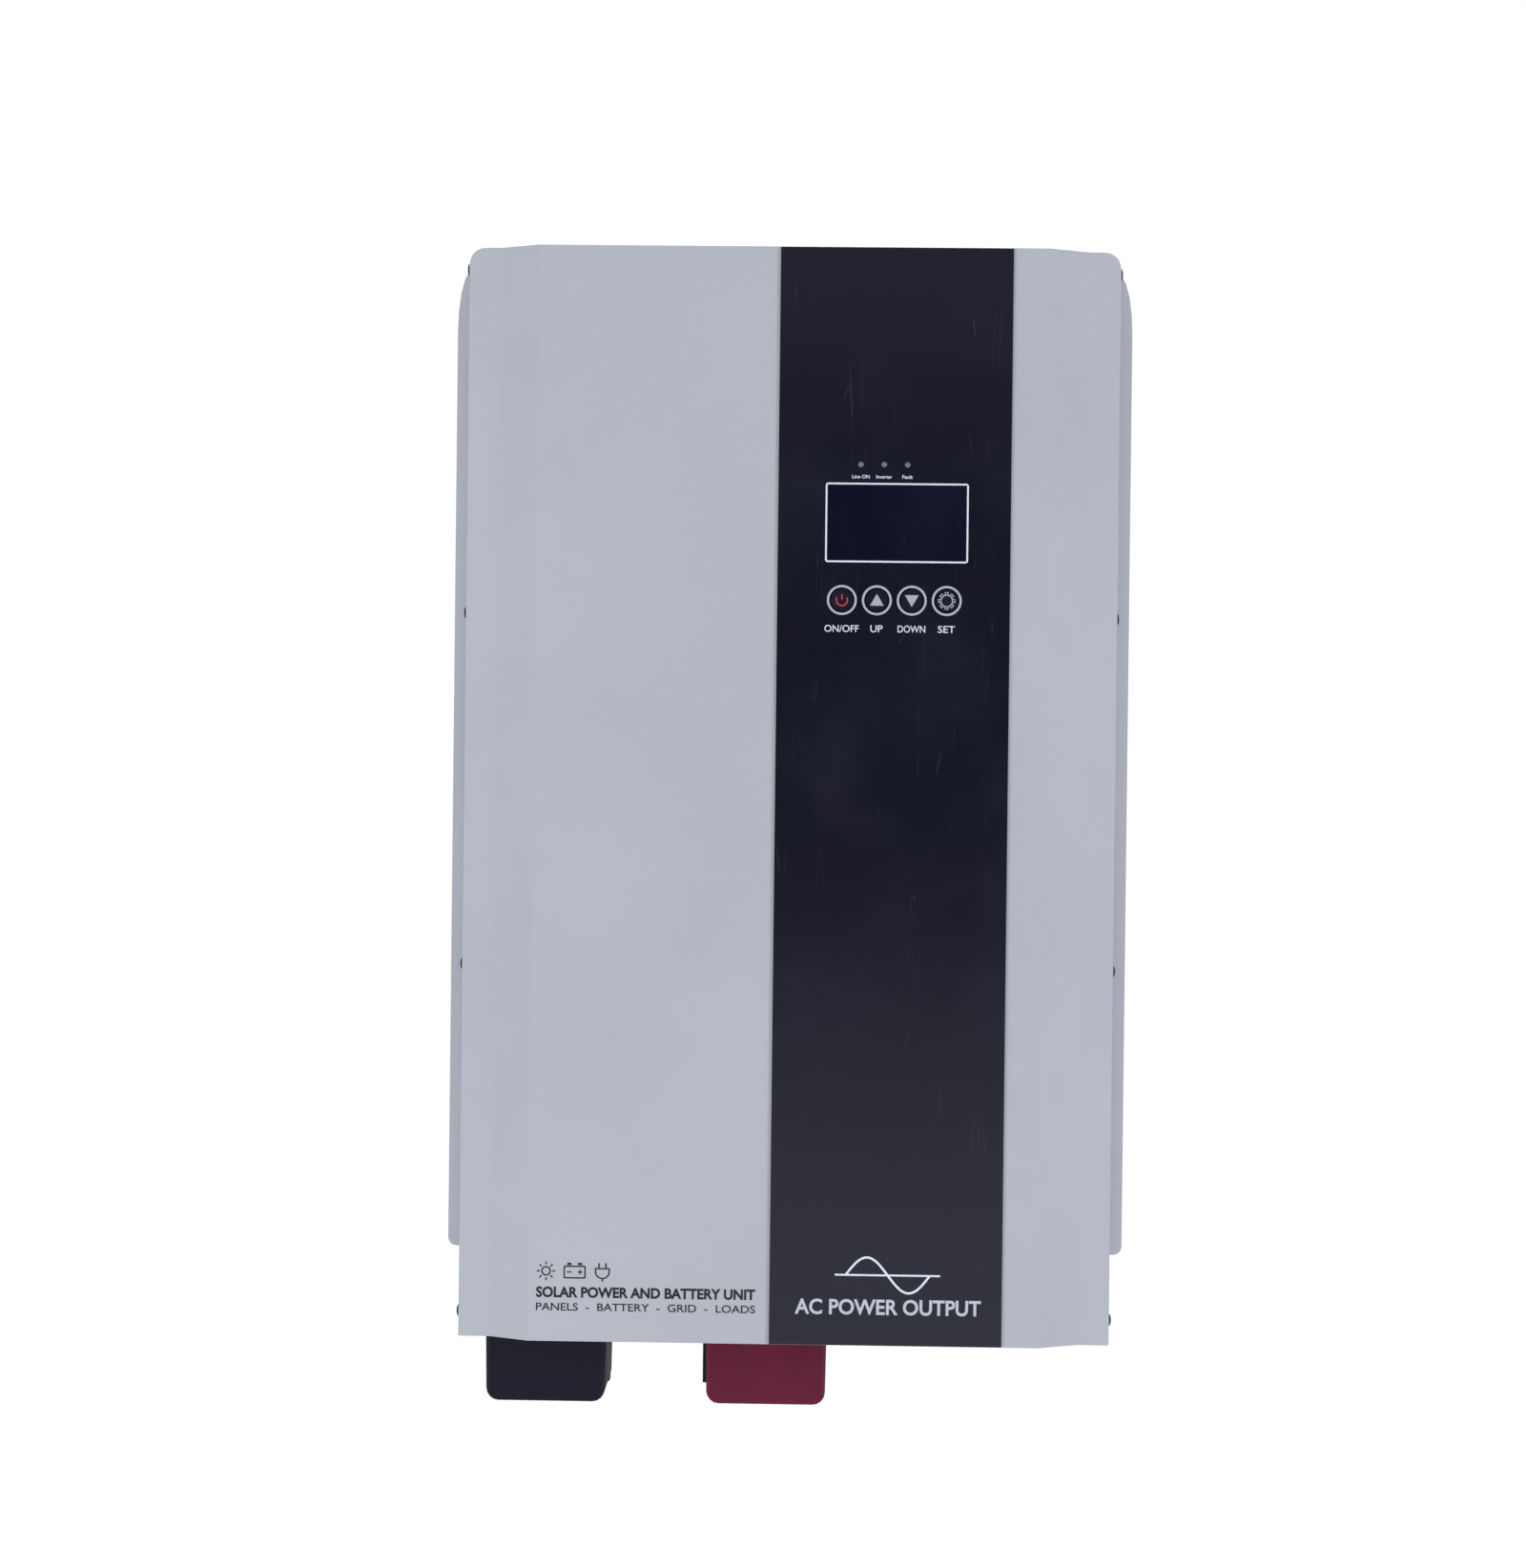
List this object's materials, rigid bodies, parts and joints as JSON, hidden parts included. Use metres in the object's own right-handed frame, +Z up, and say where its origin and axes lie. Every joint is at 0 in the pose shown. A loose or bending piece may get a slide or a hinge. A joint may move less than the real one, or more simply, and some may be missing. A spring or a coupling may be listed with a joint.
{
  "type": "hybrid solar inverter",
  "caption": "Wall-hung sheet-metal solar inverter-charger with a black control band, round keys, display, side air hoods and battery terminal covers below.",
  "frame": {"origin": "centre of the back plate's rear face, which lies on the wall", "axes": "+Z up, +Y into the wall, the front faces -Y, +X to the right of someone who faces the unit"},
  "size_m": [0.4196, 0.215, 0.7248],
  "materials": {
    "cover_paint": "fine-textured light grey-white powder coat",
    "case_paint": "light grey powder coat",
    "panel_film": "satin black printed film",
    "key_film": "satin black with printed symbols",
    "display_window": "gloss, very dark blue tint",
    "led_lens": "frosted grey lens",
    "screw_steel": "dark bright plating",
    "zinc_steel": "zinc plated",
    "brass": "machined",
    "aluminium": "extruded",
    "black_plastic": "moulded, lightly textured",
    "red_plastic": "moulded, lightly textured",
    "circuit_board": "solder mask",
    "rubber": "matte",
    "winding": "taped winding of enamelled copper on a steel core",
    "capacitor_sleeve": "shrink sleeve",
    "lcd_frame": "moulded"
  },
  "bodies": {
    "case": {"battery_base_negative": "black_plastic", "battery_base_positive": "black_plastic", "battery_nut_negative": "zinc_steel", "battery_nut_positive": "zinc_steel", "battery_stud_negative": "brass", "battery_stud_positive": "brass", "breaker_body": "black_plastic", "cable_gland_ac": "black_plastic", "cable_gland_pv": "black_plastic", "capacitor_1": "capacitor_sleeve", "capacitor_2": "capacitor_sleeve", "capacitor_3": "capacitor_sleeve", "capacitor_4": "capacitor_sleeve", "charger_board": "circuit_board", "communication_ports": "black_plastic", "connection_panel": "case_paint", "control_board": "circuit_board", "control_panel": "panel_film", "cover_screw_left_1": "screw_steel", "cover_screw_left_2": "screw_steel", "cover_screw_left_3": "screw_steel", "cover_screw_left_4": "screw_steel", "cover_screw_right_1": "screw_steel", "cover_screw_right_2": "screw_steel", "cover_screw_right_3": "screw_steel", "cover_screw_right_4": "screw_steel", "display_board": "circuit_board", "display_window": "display_window", "fan_frame_lower": "black_plastic", "fan_frame_upper": "black_plastic", "filter_choke": "winding", "front_cover": "cover_paint", "ground_bolt": "brass", "heatsink_left": "aluminium", "heatsink_right": "aluminium", "lcd_module": "lcd_frame", "led_fault": "led_lens", "led_inverter": "led_lens", "led_line": "led_lens", "power_board": "circuit_board", "power_switch": "black_plastic", "rear_chassis": "case_paint", "side_louvre_left": "case_paint", "side_louvre_right": "case_paint", "terminal_block_ac": "black_plastic", "terminal_block_pv": "black_plastic", "transformer_bolt": "zinc_steel", "transformer_pad": "rubber", "transformer_washer": "zinc_steel", "transformer_winding": "winding"},
    "button_power": {"button_power": "key_film"},
    "button_up": {"button_up": "key_film"},
    "button_down": {"button_down": "key_film"},
    "button_set": {"button_set": "key_film"},
    "fan_rotor_upper": {"fan_rotor_upper": "black_plastic"},
    "fan_rotor_lower": {"fan_rotor_lower": "black_plastic"},
    "breaker_lever": {"breaker_lever": "black_plastic"},
    "switch_rocker": {"switch_rocker": "black_plastic"},
    "battery_cover_negative": {"battery_cover_negative": "black_plastic"},
    "battery_cover_positive": {"battery_cover_positive": "red_plastic"}
  },
  "joints": [
    {"name": "power_press", "type": "slide", "parent": "case", "child": "button_power", "axis": [0, 1, 0], "range_m": [0, 0.0008], "stiffness_N_per_m": 1500},
    {"name": "up_press", "type": "slide", "parent": "case", "child": "button_up", "axis": [0, 1, 0], "range_m": [0, 0.0008], "stiffness_N_per_m": 1500},
    {"name": "down_press", "type": "slide", "parent": "case", "child": "button_down", "axis": [0, 1, 0], "range_m": [0, 0.0008], "stiffness_N_per_m": 1500},
    {"name": "set_press", "type": "slide", "parent": "case", "child": "button_set", "axis": [0, 1, 0], "range_m": [0, 0.0008], "stiffness_N_per_m": 1500},
    {"name": "fan_upper_spin", "type": "hinge", "parent": "case", "child": "fan_rotor_upper", "pos_m": [-0.19, -0.105, 0.235], "axis": [1, 0, 0], "continuous": true},
    {"name": "fan_lower_spin", "type": "hinge", "parent": "case", "child": "fan_rotor_lower", "pos_m": [-0.19, -0.105, 0.13], "axis": [1, 0, 0], "continuous": true},
    {"name": "breaker_throw", "type": "hinge", "parent": "case", "child": "breaker_lever", "pos_m": [0.15, -0.145, -0.2773], "axis": [1, 0, 0], "range_deg": [-44, 0]},
    {"name": "rocker_throw", "type": "hinge", "parent": "case", "child": "switch_rocker", "pos_m": [0.1, -0.15, -0.2793], "axis": [1, 0, 0], "range_deg": [0, 14]},
    {"name": "negative_cover_pull", "type": "slide", "parent": "case", "child": "battery_cover_negative", "axis": [0, -1, 0], "range_m": [0, 0.055]},
    {"name": "positive_cover_pull", "type": "slide", "parent": "case", "child": "battery_cover_positive", "axis": [0, -1, 0], "range_m": [0, 0.055]}
  ]
}
